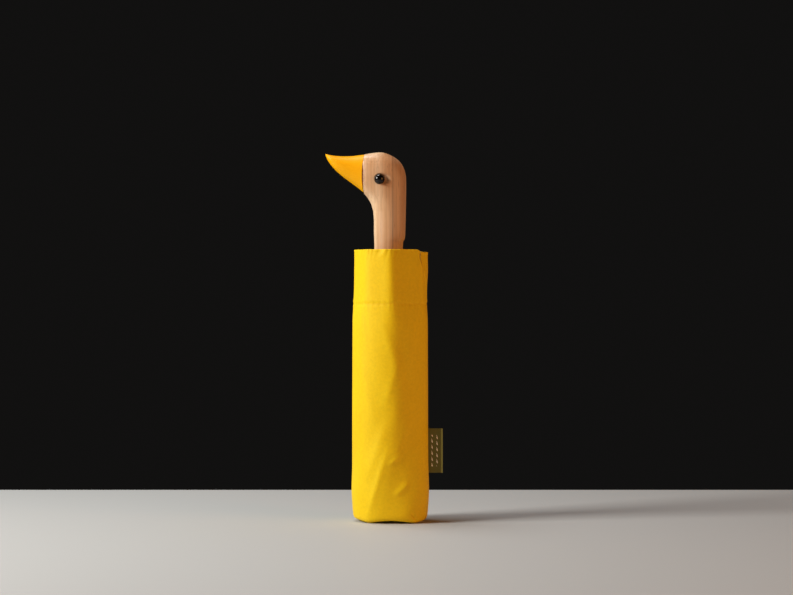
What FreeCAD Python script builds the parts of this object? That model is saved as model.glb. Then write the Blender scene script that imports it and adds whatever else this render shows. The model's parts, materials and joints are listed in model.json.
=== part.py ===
import FreeCAD, Part
import math
import os

V = FreeCAD.Vector

# A child's three-fold umbrella, stored in its fabric sleeve: the crown is at the bottom and the bird-head
# handle at the top. Millimetres, +Z up, origin on the shaft's axis in the plane that the sleeve stands on.

# Ribs: each of the six has three sections, laid one outside the other round the shaft
RIBS = 6
INNER_RIB = 150.0
MIDDLE_RIB = 142.0
OUTER_RIB = 195.0
STRETCHER_PIN_AT = 75.0      # along the inner rib, from the crown pivot
INNER_RIB_HEIGHT = 2.6       # radial height of each channel section
MIDDLE_RIB_HEIGHT = 2.4
OUTER_RIB_HEIGHT = 2.2
STRETCHER_HEIGHT = 2.4
RIB_THICK = 2.0              # width of a channel section, across the rib's plane
RIB_WALL = 0.4
RIB_GAP = 1.3                # radial gap between sections that lie one outside the other
PLANE_GAP = 0.2              # from the rib's plane to the sections on either side of it
RIB_END = 1.5                # metal past a pivot's centre
EYELET = 3.0                 # flattened, solid length either side of a pivot

# Pivots
PIVOT_FROM_TUBE = 4.4        # from the outer tube's face to the ring wire
CROWN_PIVOT_Z = 22.0         # at least; it is higher where long middle ribs need it
SECOND_JOINT_LOWEST = 18.0
WIRE_R = 0.5                 # ring wire through the crown, and through the runner
WIRE_HOLE_CLEAR = 0.35       # the wire curves inside the eyelet, so its hole is wide
WIRE_GROOVE_CLEAR = 0.05
RIVET_R = 0.6
RIVET_CLEAR = 0.05
RIVET_HEAD_R = 1.1
RIVET_HEAD = 0.3
HEAD_CLEAR = 0.1
TIP_CAP_R = 1.6
TIP_CAP = 5.0

# Angles from the shaft when the umbrella is open, degrees
INNER_OPEN = 80.0
STRETCHER_FLATTEST = 65.0    # the stretcher is long enough to lean no more than this

# Shaft: three tubes, each sliding in the one outside it
OUTER_TUBE_R = 6.0
TUBE_WALL = 0.6
TUBE_CLEAR = 0.1
TUBE_LAP = 30.0              # length left inside the next tube when drawn out
TUBE_STEP = 1.5              # each tube ends this far above the one outside it
TUBE_SEAT_Z = 14.0           # foot of the outer tube, in the crown
HANDLE_GAP = 1.5

# Cap, crown and runner
CAP_ABOVE_BASE = 1.0         # from the sleeve's base to the cap
CAP_R = 9.0
CAP_TALL = 5.0
CAP_EDGE_R = 2.0
CAP_STEM_R = 3.0
CROWN_HUB_WALL = 3.0         # round the outer tube
FLANGE_LIP = 2.6             # flange outside the ring wire's centre
FLANGE_HALF = 5.0            # flange above and below the crown's pivot ring
SLOT_FLOOR_WALL = 2.0        # left round the outer tube at the floor of a slot
SLOT_CLEAR = 0.2
RUNNER_ABOVE_RIB = 9.0       # runner's pivot ring above the first rib joint when folded
RUNNER_FLANGE_BELOW = 4.0
RUNNER_FLANGE_ABOVE = 5.0
RUNNER_RIM = 0.6             # flange left above the slots
RUNNER_GRIP_WALL = 3.0       # round the outer tube
RUNNER_GRIP = 20.0
RUNNER_TO_TUBE_TOP = 19.0
RUNNER_CLEAR = 0.1

# Sprung catches, in the space between two ribs
CATCH_ANGLE = 30.0
CATCH_TRAVEL = 1.6
CATCH_NOSE_WIDE = 2.0
CATCH_NOSE_TALL = 4.0
CATCH_LEAF_TALL = 12.0
CATCH_NOSE_STEP = 0.3        # left of the nose at its sloped end
LEAF_THICK = 0.5
LEAF_WIDE = 2.4
LEAF_FROM_TUBE_END = 1.0
CATCH_CLEAR = 0.2
CATCH_ABOVE_PIVOT = 10.0     # above the runner's pivot ring when the umbrella is open
TUBE_ABOVE_CATCH = 7.0       # the next tube starts this far above a catch's leaf

# Canopy cloth: a furled bundle, and one gathered strip beside each rib section
CLOTH = 0.8
BUNDLE_THICK = 6.5
BUNDLE_CLEAR = 2.4           # from the outer rib to the bundle's inside
BUNDLE_ABOVE_TIPS = 8.0
BUNDLE_FOOT_IN = 6.0         # how far the bundle draws in at its foot, and over what height
BUNDLE_FOOT_TALL = 16.0
BUNDLE_NECK_IN = 3.0         # and at its top
BUNDLE_NECK_TALL = 30.0
BUNDLE_FLOOR_IN = 5.0        # and inside, down to the cap
BUNDLE_FLOOR_TALL = 6.0
PANEL_GAP = 0.4              # from the rivets' heads to the strips
PANEL_THICK = 0.6
PANEL_HEIGHT = 2.0
PANEL_END_GAP = 8.0
STRAP_THICK = 0.9
STRAP_WIDE = 16.0
STRAP_BELOW_TOP = 46.0

# Sleeve, and the tab sewn into its side seam
SLEEVE_CLEAR = 1.2
SLEEVE_WALL = 0.8
SLEEVE_BASE = 1.0
SLEEVE_EXTRA_WIDE = 8.6      # the sleeve lies wider than deep
SLEEVE_CORNER_R = 22.0
SLEEVE_FOOT_R = 5.0
SLEEVE_ABOVE_BUNDLE = 17.5
SLIT_DEEP = 18.0
SLIT_WIDE = 7.0
LABEL_WIDE = 12.5
LABEL_TALL = 41.0
LABEL_THICK = 1.2
LABEL_Z = 44.5

# Handle: a turned neck that grows into a carved bird's head. Heights are above the handle's foot.
COLLAR_R = 12.4
COLLAR_TALL = 4.0
HANDLE_BORE = 40.0
NECK_HALF_DEEP = 14.4
CHEEK_HALF_DEEP = 16.4
BEAK_PLANE_X = -24.5
BEAK_HALF_DEEP = 12.6
BEAK_LONG = 35.0
EYE_R = 4.7
EYE_X = -9.6
EYE_UP = 87.6
EYE_SINK = 0.8
EYE_POST_R = 1.2
EYE_POST = 5.0

# Sections of neck and head: height, reach towards the beak, reach behind, half depth
HEAD_SECTIONS = [
    (COLLAR_TALL, 14.9, 12.4, 13.8),
    (30.0, 14.9, 12.8, 14.0),
    (33.0, 14.9, 14.1, NECK_HALF_DEEP),
    (48.0, 14.9, 14.5, NECK_HALF_DEEP),
    (55.0, 15.5, 14.7, NECK_HALF_DEEP),
    (61.0, 16.8, 14.8, 14.6),
    (67.0, 19.2, 14.9, 15.0),
    (72.0, 22.2, 15.0, 15.4),
    (78.0, 27.5, 15.1, 15.9),
    (88.0, 33.0, 15.0, CHEEK_HALF_DEEP),
    (94.0, 33.5, 14.2, 16.0),
    (99.0, 32.8, 12.6, 15.0),
    (103.5, 31.0, 10.0, 13.4),
    (107.0, 28.4, 6.6, 11.4),
    (110.0, 24.0, 1.6, 8.4),
    (111.8, 19.0, -2.4, 5.0),
]

# Sections of the beak: share of its length, underside, top, half depth
BEAK_SECTIONS = [
    (0.0, 76.2, 110.2, BEAK_HALF_DEEP),
    (0.25, 83.6, 109.2, 11.2),
    (0.5, 90.6, 108.8, 10.0),
    (0.75, 97.4, 109.2, 9.0),
    (0.93, 104.0, 110.6, 7.2),
    (1.0, 107.4, 111.0, 4.6),
]

# Radii and heights that follow from the values above
crown_pivot_r = OUTER_TUBE_R + PIVOT_FROM_TUBE
flange_r = crown_pivot_r + FLANGE_LIP
crown_hub_r = OUTER_TUBE_R + CROWN_HUB_WALL
slot_floor_r = OUTER_TUBE_R + SLOT_FLOOR_WALL
runner_grip_r = OUTER_TUBE_R + RUNNER_GRIP_WALL
wire_hole_r = WIRE_R + WIRE_HOLE_CLEAR
cap_z = SLEEVE_BASE + CAP_ABOVE_BASE
crown_pivot_z = max(CROWN_PIVOT_Z, MIDDLE_RIB - INNER_RIB + SECOND_JOINT_LOWEST)
middle_rib_r = crown_pivot_r + (INNER_RIB_HEIGHT + MIDDLE_RIB_HEIGHT) / 2 + RIB_GAP
outer_rib_r = middle_rib_r + (MIDDLE_RIB_HEIGHT + OUTER_RIB_HEIGHT) / 2 + RIB_GAP
first_joint_z = crown_pivot_z + INNER_RIB
second_joint_z = first_joint_z - MIDDLE_RIB
tip_z = second_joint_z + OUTER_RIB
stretcher_pin_z = crown_pivot_z + STRETCHER_PIN_AT

# The stretcher reaches from its pin to above the folded first joint, and is long enough for the open rib. The
# runner's place when the umbrella is open follows from the triangle of crown, inner rib and stretcher.
pin_out = STRETCHER_PIN_AT * math.sin(math.radians(INNER_OPEN))
pin_up = STRETCHER_PIN_AT * math.cos(math.radians(INNER_OPEN))
stretcher = max(INNER_RIB - STRETCHER_PIN_AT + RUNNER_ABOVE_RIB, pin_out / math.sin(math.radians(STRETCHER_FLATTEST)))
runner_z = stretcher_pin_z + stretcher
runner_open_z = crown_pivot_z + pin_up + math.sqrt(stretcher ** 2 - pin_out ** 2)

runner_top_z = runner_z + RUNNER_FLANGE_ABOVE + RUNNER_GRIP
outer_tube_top = runner_top_z + RUNNER_TO_TUBE_TOP
middle_tube_top = outer_tube_top + TUBE_STEP
handle_z = middle_tube_top + HANDLE_GAP

middle_tube_r = OUTER_TUBE_R - TUBE_WALL - TUBE_CLEAR
inner_tube_r = middle_tube_r - TUBE_WALL - TUBE_CLEAR
runner_catch_z = runner_open_z + CATCH_ABOVE_PIVOT
middle_tube_z = runner_catch_z + CATCH_LEAF_TALL / 2 + TUBE_ABOVE_CATCH
middle_catch_z = middle_tube_z + CATCH_LEAF_TALL / 2 + LEAF_FROM_TUBE_END
inner_tube_z = middle_catch_z + CATCH_LEAF_TALL / 2 + TUBE_ABOVE_CATCH
inner_catch_z = inner_tube_z + CATCH_LEAF_TALL / 2 + LEAF_FROM_TUBE_END
middle_travel = outer_tube_top - TUBE_LAP - middle_tube_z
inner_travel = middle_tube_top - TUBE_LAP - inner_tube_z

crown_top_z = crown_pivot_z + FLANGE_HALF
bundle_in_r = outer_rib_r + OUTER_RIB_HEIGHT / 2 + BUNDLE_CLEAR
bundle_r = bundle_in_r + BUNDLE_THICK
cap_top_z = cap_z + CAP_TALL
bundle_top_z = tip_z + BUNDLE_ABOVE_TIPS
sleeve_half_deep = bundle_r + STRAP_THICK + SLEEVE_CLEAR + SLEEVE_WALL
sleeve_half_wide = sleeve_half_deep + SLEEVE_EXTRA_WIDE / 2
sleeve_top_z = bundle_top_z + SLEEVE_ABOVE_BUNDLE
near_side = (-PLANE_GAP - RIB_THICK, -PLANE_GAP)
far_side = (PLANE_GAP, PLANE_GAP + RIB_THICK)
panel_at = far_side[1] + HEAD_CLEAR + RIVET_HEAD + PANEL_GAP


def box(x, y, z):
    """A block from its three spans, each a pair of low and high."""
    size = [high - low for low, high in (x, y, z)]
    return Part.makeBox(*size, V(x[0], y[0], z[0]))


def cylinder(r, z_low, z_high):
    """A cylinder on the shaft's axis."""
    return Part.makeCylinder(r, z_high - z_low, V(0, 0, z_low))


def tube(r_in, r_out, z_low, z_high):
    """A tube on the shaft's axis."""
    return cylinder(r_out, z_low, z_high).cut(cylinder(r_in, z_low - 1, z_high + 1))


def turned(shape, degrees):
    """A copy turned about the shaft's axis."""
    copy = shape.copy()
    copy.rotate(V(0, 0, 0), V(0, 0, 1), degrees)
    return copy


def around(shape, start=0.0):
    """Copies of a cut, one at each rib, as one compound."""
    return Part.makeCompound([turned(shape, start + i * 360.0 / RIBS) for i in range(RIBS)])


def cross_pin(r, x, z, y_low, y_high):
    """A pin across the rib's plane."""
    return Part.makeCylinder(r, y_high - y_low, V(x, y_low, z), V(0, 1, 0))


def ellipse_face_wire(centre, x_axis, y_axis, a, b):
    """A closed ellipse with half axes a along x_axis and b along y_axis."""
    normal = x_axis.cross(y_axis)
    if a < b:
        a, b = b, a
        x_axis, normal = y_axis, normal
    ellipse = Part.Ellipse(centre + x_axis * a, centre + normal.cross(x_axis) * b, centre)
    return Part.Wire([ellipse.toShape()])


# ---- rib sections: pressed steel channels with flattened eyelets, in the plane y = 0 before turning ----

def channel(x, height, side, z_low, z_high, solid_at):
    """A channel section along z, open outwards, solid within an eyelet's length of each height given."""
    low, high = side
    bar = box((x - height / 2, x + height / 2), side, (z_low, z_high))
    stops = sorted(solid_at)
    for lower, upper in zip(stops, stops[1:]):
        hollow = box((x - height / 2 + RIB_WALL, x + height), (low + RIB_WALL, high - RIB_WALL),
                     (lower + EYELET, upper - EYELET))
        bar = bar.cut(hollow)
    return bar


def rivet(x, z, parent_side, child_side):
    """A rivet headed on both outer faces, with play under the head on the child's side."""
    low = min(parent_side[0], child_side[0])
    high = max(parent_side[1], child_side[1])
    low_play = HEAD_CLEAR if child_side[0] == low else 0.0
    high_play = HEAD_CLEAR if child_side[1] == high else 0.0
    shank = cross_pin(RIVET_R, x, z, low - low_play, high + high_play)
    lower = cross_pin(RIVET_HEAD_R, x, z, low - low_play - RIVET_HEAD, low - low_play)
    upper = cross_pin(RIVET_HEAD_R, x, z, high + high_play, high + high_play + RIVET_HEAD)
    return shank.fuse(lower).fuse(upper).removeSplitter()


def hole(r, x, z):
    return cross_pin(r, x, z, near_side[0] - 1, far_side[1] + 1)


def ear(x_low, x_joint, side, z_low, z_high):
    """A lug that carries a rivet outside the bar it belongs to."""
    return box((x_low, x_joint + RIB_END), side, (z_low, z_high))


def inner_rib():
    """Crown to first joint. Its lug carries the first joint's rivet; a short rivet meets the stretcher."""
    joint_low = first_joint_z - RIB_END
    joint_high = first_joint_z + RIB_END
    bar = channel(crown_pivot_r, INNER_RIB_HEIGHT, near_side, crown_pivot_z - RIB_END, joint_high,
                  (crown_pivot_z, stretcher_pin_z, first_joint_z))
    bar = bar.fuse(ear(crown_pivot_r, middle_rib_r, near_side, joint_low, joint_high)).removeSplitter()
    bar = bar.cut(hole(wire_hole_r, crown_pivot_r, crown_pivot_z))
    bar = bar.cut(hole(RIVET_R, middle_rib_r, first_joint_z))
    bar = bar.cut(hole(RIVET_R, crown_pivot_r, stretcher_pin_z))
    stub = cross_pin(RIVET_R, crown_pivot_r, stretcher_pin_z, near_side[0], near_side[1])
    head = cross_pin(RIVET_HEAD_R, crown_pivot_r, stretcher_pin_z, near_side[0] - RIVET_HEAD, near_side[0])
    return [bar, rivet(middle_rib_r, first_joint_z, near_side, far_side), stub.fuse(head).removeSplitter()]


def middle_rib():
    """First joint down to second joint. Its lug carries the second joint's rivet."""
    joint_low = second_joint_z - RIB_END
    bar = channel(middle_rib_r, MIDDLE_RIB_HEIGHT, far_side, joint_low, first_joint_z + RIB_END,
                  (second_joint_z, first_joint_z))
    bar = bar.fuse(ear(middle_rib_r, outer_rib_r, far_side, joint_low, second_joint_z + RIB_END)).removeSplitter()
    bar = bar.cut(hole(RIVET_R + RIVET_CLEAR, middle_rib_r, first_joint_z))
    bar = bar.cut(hole(RIVET_R, outer_rib_r, second_joint_z))
    return [bar, rivet(outer_rib_r, second_joint_z, far_side, near_side)]


def outer_rib():
    """Second joint to the rib's tip, which ends in a moulded cap that the cloth is sewn to."""
    cap_foot = tip_z - TIP_CAP / 2
    bar = channel(outer_rib_r, OUTER_RIB_HEIGHT, near_side, second_joint_z - RIB_END, cap_foot,
                  (second_joint_z, cap_foot))
    bar = bar.cut(hole(RIVET_R + RIVET_CLEAR, outer_rib_r, second_joint_z))
    middle_y = (near_side[0] + near_side[1]) / 2
    barrel = Part.makeCylinder(TIP_CAP_R, TIP_CAP, V(outer_rib_r, middle_y, cap_foot))
    nose = Part.makeSphere(TIP_CAP_R, V(outer_rib_r, middle_y, cap_foot + TIP_CAP))
    return [bar, barrel.fuse(nose).removeSplitter()]


def stretcher_bar():
    """From the runner's ring down to the inner rib."""
    bar = channel(crown_pivot_r, STRETCHER_HEIGHT, far_side, stretcher_pin_z - RIB_END, runner_z + RIB_END,
                  (stretcher_pin_z, runner_z))
    bar = bar.cut(hole(wire_hole_r, crown_pivot_r, runner_z))
    return [bar.cut(hole(RIVET_R + RIVET_CLEAR, crown_pivot_r, stretcher_pin_z))]


def gathered_strip(x, z_low, z_high):
    """The cloth of one gore, gathered flat beside one rib section."""
    return [box((x - PANEL_HEIGHT / 2, x + PANEL_HEIGHT / 2), (panel_at, panel_at + PANEL_THICK),
                (z_low + PANEL_END_GAP, z_high - PANEL_END_GAP))]


# ---- shaft, crown, runner and catches ----

def wire_ring(z):
    return Part.makeTorus(crown_pivot_r, WIRE_R, V(0, 0, z))


def wire_groove(z, open_to):
    """The groove that the ring wire is laid in, open at one face of its flange."""
    r = WIRE_R + WIRE_GROOVE_CLEAR
    ring = Part.makeTorus(crown_pivot_r, r, V(0, 0, z))
    low, high = sorted((z, open_to))
    return ring.fuse(tube(crown_pivot_r - r, crown_pivot_r + r, low, high))


def rib_slots(side, z_low, z_high):
    low, high = side
    return around(box((slot_floor_r, flange_r + 1), (low - SLOT_CLEAR, high + SLOT_CLEAR), (z_low, z_high)))


def crown():
    """Moulded crown: a hub that seats the outer tube, and a slotted flange with the ribs' ring wire."""
    flange_low = crown_pivot_z - FLANGE_HALF
    body = cylinder(crown_hub_r, cap_top_z + CLOTH, flange_low).fuse(cylinder(flange_r, flange_low, crown_top_z))
    body = body.cut(cylinder(CAP_STEM_R, 0, TUBE_SEAT_Z)).cut(cylinder(OUTER_TUBE_R, TUBE_SEAT_Z, crown_top_z + 1))
    body = body.cut(wire_groove(crown_pivot_z, crown_top_z + 1))
    body = body.cut(rib_slots(near_side, flange_low - 1, crown_top_z + 1))
    return [body.removeSplitter(), wire_ring(crown_pivot_z)]


def top_cap():
    """The cap that clamps the cloth to the crown, with a stem up into it."""
    dome = cylinder(CAP_R, cap_z, cap_top_z)
    low_edge = [e for e in dome.Edges if e.BoundBox.ZMax < cap_z + 0.1]
    return [dome.makeFillet(CAP_EDGE_R, low_edge).fuse(cylinder(CAP_STEM_R, cap_top_z, TUBE_SEAT_Z)).removeSplitter()]


def runner():
    """Moulded runner: slotted flange with the stretchers' ring wire, and a grip with a way for the catch."""
    bore = OUTER_TUBE_R + RUNNER_CLEAR
    low = runner_z - RUNNER_FLANGE_BELOW
    flange_top = runner_z + RUNNER_FLANGE_ABOVE
    body = cylinder(flange_r, low, flange_top).fuse(cylinder(runner_grip_r, flange_top, runner_top_z))
    body = body.cut(cylinder(bore, low - 1, runner_top_z + 1))
    body = body.cut(wire_groove(runner_z, low - 1))
    body = body.cut(rib_slots(far_side, low - 1, flange_top - RUNNER_RIM))
    half = CATCH_NOSE_WIDE / 2 + CATCH_CLEAR
    way = box((0, OUTER_TUBE_R + CATCH_TRAVEL + CATCH_CLEAR), (-half, half), (low - 1, runner_top_z + 1))
    return [body.cut(turned(way, CATCH_ANGLE)).removeSplitter(), wire_ring(runner_z)]


def catch(bore, nose_r, z):
    """A leaf inside a tube with a nose through its wall, sloped below so that what slides up presses it in."""
    half_leaf = LEAF_WIDE / 2
    half_nose = CATCH_NOSE_WIDE / 2
    leaf_x = math.sqrt(bore ** 2 - half_leaf ** 2) - TUBE_CLEAR
    nose_x = math.sqrt(nose_r ** 2 - half_nose ** 2)
    leaf = box((leaf_x - LEAF_THICK, leaf_x), (-half_leaf, half_leaf),
               (z - CATCH_LEAF_TALL / 2, z + CATCH_LEAF_TALL / 2))
    profile = [V(leaf_x, -half_nose, z - CATCH_NOSE_TALL / 2), V(nose_x, -half_nose, z - CATCH_NOSE_TALL / 2),
               V(nose_x, -half_nose, z), V(leaf_x + CATCH_NOSE_STEP, -half_nose, z + CATCH_NOSE_TALL / 2),
               V(leaf_x, -half_nose, z + CATCH_NOSE_TALL / 2)]
    nose = Part.Face(Part.makePolygon(profile + profile[:1])).extrude(V(0, CATCH_NOSE_WIDE, 0))
    return turned(leaf.fuse(nose).removeSplitter(), CATCH_ANGLE)


def catch_window(z):
    """The hole in a tube's wall for a catch's nose."""
    half = CATCH_NOSE_WIDE / 2 + CATCH_CLEAR
    tall = CATCH_NOSE_TALL / 2 + CATCH_CLEAR
    return turned(box((0, OUTER_TUBE_R + 1), (-half, half), (z - tall, z + tall)), CATCH_ANGLE)


def shaft_tube(r, z_low, z_high, window_heights):
    body = tube(r - TUBE_WALL, r, z_low, z_high)
    for z in window_heights:
        body = body.cut(catch_window(z))
    return [body]


# ---- soft pieces ----

def furled_canopy():
    """The bundle of furled cloth: closed over the cap, hollow round the ribs, narrower at both ends."""
    profile = [V(CAP_STEM_R, 0, cap_top_z), V(bundle_r - BUNDLE_FOOT_IN, 0, cap_top_z),
               V(bundle_r, 0, cap_top_z + BUNDLE_FOOT_TALL), V(bundle_r, 0, bundle_top_z - BUNDLE_NECK_TALL),
               V(bundle_r - BUNDLE_NECK_IN, 0, bundle_top_z), V(bundle_in_r, 0, bundle_top_z),
               V(bundle_in_r, 0, cap_top_z + BUNDLE_FLOOR_TALL),
               V(bundle_in_r - BUNDLE_FLOOR_IN, 0, cap_top_z + CLOTH), V(CAP_STEM_R, 0, cap_top_z + CLOTH)]
    face = Part.Face(Part.makePolygon(profile + profile[:1]))
    return [face.revolve(V(0, 0, 0), V(0, 0, 1), 360)]


def tie_strap():
    z = bundle_top_z - STRAP_BELOW_TOP
    return [tube(bundle_r, bundle_r + STRAP_THICK, z - STRAP_WIDE, z)]


def rounded_block(half_x, half_y, corner, z_low, z_high, foot):
    """A block with rounded upright corners and a rounded lower rim."""
    block = box((-half_x, half_x), (-half_y, half_y), (z_low, z_high))
    upright = [e for e in block.Edges if e.BoundBox.ZLength > 1]
    block = block.makeFillet(corner, upright)
    low = [e for e in block.Edges if e.BoundBox.ZMax < z_low + 0.1]
    return block.makeFillet(foot, low)


def sleeve():
    """A tall cloth pocket with a flat foot, open at the top, with a V slit down its right side seam."""
    outside = rounded_block(sleeve_half_wide, sleeve_half_deep, SLEEVE_CORNER_R, 0, sleeve_top_z, SLEEVE_FOOT_R)
    inside = rounded_block(sleeve_half_wide - SLEEVE_WALL, sleeve_half_deep - SLEEVE_WALL,
                           SLEEVE_CORNER_R - SLEEVE_WALL, SLEEVE_BASE, sleeve_top_z + 1,
                           SLEEVE_FOOT_R - SLEEVE_WALL)
    x = sleeve_half_wide - SLEEVE_CORNER_R / 2
    corners = [V(x, -SLIT_WIDE / 2, sleeve_top_z + 1), V(x, SLIT_WIDE / 2, sleeve_top_z + 1),
               V(x, 0, sleeve_top_z - SLIT_DEEP)]
    slit = Part.Face(Part.makePolygon(corners + corners[:1])).extrude(V(SLEEVE_CORNER_R, 0, 0))
    return [outside.cut(inside).cut(slit)]


def label():
    """A woven tab, folded double and sewn into the right side seam."""
    return [box((sleeve_half_wide, sleeve_half_wide + LABEL_WIDE), (-LABEL_THICK / 2, LABEL_THICK / 2),
                (LABEL_Z, LABEL_Z + LABEL_TALL))]


# ---- handle ----

def eye_place(side):
    """Centre of the bead of one eye: on the cheek, sunk a little into it. Side is -1 or +1."""
    return V(EYE_X, side * (CHEEK_HALF_DEEP - EYE_SINK), handle_z + EYE_UP)


def eye(side):
    """A round bead on a post that is glued into the head."""
    centre = eye_place(side)
    post = Part.makeCylinder(EYE_POST_R, EYE_R + EYE_POST, centre, V(0, -side, 0))
    return Part.makeSphere(EYE_R, centre).fuse(post).removeSplitter()


def neck_wire(up, front, back, half_deep):
    """The outline of neck or head at one height above the handle's foot."""
    centre = V((back - front) / 2, 0, handle_z + up)
    return ellipse_face_wire(centre, V(1, 0, 0), V(0, 1, 0), (back + front) / 2, half_deep)


def head_and_neck():
    """Neck and head turned and carved from one block, flat where the beak is glued on, bored for the shaft."""
    body = Part.makeLoft([neck_wire(*section) for section in HEAD_SECTIONS], True, True)
    top = handle_z + HEAD_SECTIONS[-1][0]
    body = body.cut(box((2 * BEAK_PLANE_X, BEAK_PLANE_X), (-40, 40), (handle_z, top + 1)))
    body = body.cut(cylinder(inner_tube_r, handle_z, handle_z + HANDLE_BORE))
    for side in (-1, 1):
        body = body.cut(eye(side))
    return [body]


def beak():
    """Painted beak, glued to the head's flat face, turned up a little at the tip."""
    wires = []
    for share, low, high, half_deep in BEAK_SECTIONS:
        centre = V(BEAK_PLANE_X - share * BEAK_LONG, 0, handle_z + (low + high) / 2)
        wires.append(ellipse_face_wire(centre, V(0, 1, 0), V(0, 0, 1), half_deep, (high - low) / 2))
    return [Part.makeLoft(wires, True, True)]


def save(name, solids):
    shape = Part.makeCompound(solids) if len(solids) > 1 else solids[0]
    shape.exportStep("parts/" + name + ".step")


os.makedirs("parts", exist_ok=True)

save("sleeve", sleeve())
save("label", label())
save("canopy_furled", furled_canopy())
save("tie_strap", tie_strap())
save("top_cap", top_cap())
save("crown", crown())
save("outer_tube", shaft_tube(OUTER_TUBE_R, TUBE_SEAT_Z, outer_tube_top,
                              (runner_catch_z, middle_catch_z + middle_travel)))
save("middle_tube", shaft_tube(middle_tube_r, middle_tube_z, middle_tube_top,
                               (middle_catch_z, inner_catch_z + inner_travel)))
save("inner_tube", shaft_tube(inner_tube_r, inner_tube_z, handle_z + HANDLE_BORE, (inner_catch_z,)))
save("runner", runner())
save("runner_catch", [catch(OUTER_TUBE_R - TUBE_WALL, OUTER_TUBE_R + CATCH_TRAVEL, runner_catch_z)])
save("middle_catch", [catch(middle_tube_r - TUBE_WALL, middle_tube_r, middle_catch_z)])
save("inner_catch", [catch(inner_tube_r - TUBE_WALL, inner_tube_r, inner_catch_z)])
save("handle_collar", [tube(inner_tube_r, COLLAR_R, handle_z, handle_z + COLLAR_TALL)])
save("head_and_neck", head_and_neck())
save("beak", beak())
save("eyes", [eye(-1), eye(1)])

for i in range(RIBS):
    angle = i * 360.0 / RIBS
    sections = {
        "rib_inner": inner_rib(),
        "rib_middle": middle_rib(),
        "rib_outer": outer_rib(),
        "stretcher": stretcher_bar(),
        "cloth_inner": gathered_strip(crown_pivot_r, crown_pivot_z, first_joint_z),
        "cloth_middle": gathered_strip(middle_rib_r, second_joint_z, first_joint_z),
        "cloth_outer": gathered_strip(outer_rib_r, second_joint_z, tip_z),
    }
    for name, solids in sections.items():
        save(f"{name}_{i + 1}", [turned(solid, angle) for solid in solids])
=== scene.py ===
import json
import math
import bmesh
import bpy
import numpy as np
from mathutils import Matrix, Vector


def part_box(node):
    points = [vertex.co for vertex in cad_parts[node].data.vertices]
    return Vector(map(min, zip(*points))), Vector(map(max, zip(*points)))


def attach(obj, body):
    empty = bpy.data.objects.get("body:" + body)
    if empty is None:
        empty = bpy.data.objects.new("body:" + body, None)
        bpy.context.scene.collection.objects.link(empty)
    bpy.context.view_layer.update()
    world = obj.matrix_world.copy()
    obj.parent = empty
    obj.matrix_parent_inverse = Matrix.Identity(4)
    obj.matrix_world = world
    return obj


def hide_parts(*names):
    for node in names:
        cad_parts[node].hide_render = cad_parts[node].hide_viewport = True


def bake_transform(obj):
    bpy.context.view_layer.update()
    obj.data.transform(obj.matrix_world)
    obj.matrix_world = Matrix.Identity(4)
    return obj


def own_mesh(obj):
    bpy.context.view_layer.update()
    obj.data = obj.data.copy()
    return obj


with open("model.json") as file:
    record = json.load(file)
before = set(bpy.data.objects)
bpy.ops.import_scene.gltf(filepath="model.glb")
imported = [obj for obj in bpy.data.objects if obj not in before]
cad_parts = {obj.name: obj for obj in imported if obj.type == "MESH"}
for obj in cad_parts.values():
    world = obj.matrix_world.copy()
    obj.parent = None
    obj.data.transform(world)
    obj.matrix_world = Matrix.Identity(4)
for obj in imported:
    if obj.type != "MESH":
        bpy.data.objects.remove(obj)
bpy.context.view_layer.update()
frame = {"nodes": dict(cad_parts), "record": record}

# ---------------------------------------------------------------- camera
# A long lens, held level at about three fifths of the umbrella's height.
camera_data = bpy.data.cameras.new("camera")
camera_data.lens = 88.4
camera = bpy.data.objects.new("camera", camera_data)
camera.location = (0.006, -1.8, 0.2065)
camera.rotation_euler = (math.radians(90), 0, 0)
bpy.context.collection.objects.link(camera)
bpy.context.scene.camera = camera


# ---------------------------------------------------------------- studio
# A pale table in a dim room, with one large soft lamp low on the left and two faint ones.
def linear(hex_colour):
    """Linear RGBA of an sRGB hex colour."""
    channels = [int(hex_colour[i:i + 2], 16) / 255 for i in (1, 3, 5)]
    return (*(c / 12.92 if c <= 0.04045 else ((c + 0.055) / 1.055) ** 2.4 for c in channels), 1.0)


def add(tree, kind, links=None, **settings):
    """One shader node. Links, and settings that start with in_, go to the input of that name or number; the other
    settings go to the node."""
    node = tree.nodes.new("ShaderNode" + kind)
    for key, value in settings.items():
        if not key.startswith("in_") and hasattr(node, key):
            setattr(node, key, value)
    for key, value in settings.items():
        if key.startswith("in_"):
            name = key[3:]
            node.inputs[int(name) if name.isdigit() else name.replace("_", " ")].default_value = value
    for key, socket in (links or {}).items():
        tree.links.new(socket, node.inputs[key])
    return node


def material(name, **settings):
    """A new material with one Principled shader. Returns the material, its node tree and the shader."""
    made = bpy.data.materials.new(name)
    made.use_nodes = True
    tree = made.node_tree
    shader = tree.nodes["Principled BSDF"]
    for key, value in settings.items():
        shader.inputs[key.replace("_", " ")].default_value = value
    return made, tree, shader


def lamp(name, place, target, size, power, colour):
    """A square soft lamp at a place, aimed at a target."""
    data = bpy.data.lights.new(name, "AREA")
    data.size = size
    data.energy = power
    data.color = linear(colour)[:3]
    body = bpy.data.objects.new(name, data)
    body.location = place
    aim = np.array(target) - np.array(place)
    tilt = math.acos(-aim[2] / np.linalg.norm(aim))
    body.rotation_euler = (tilt, 0, math.atan2(aim[1], aim[0]) - math.pi / 2)
    bpy.context.collection.objects.link(body)


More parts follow.
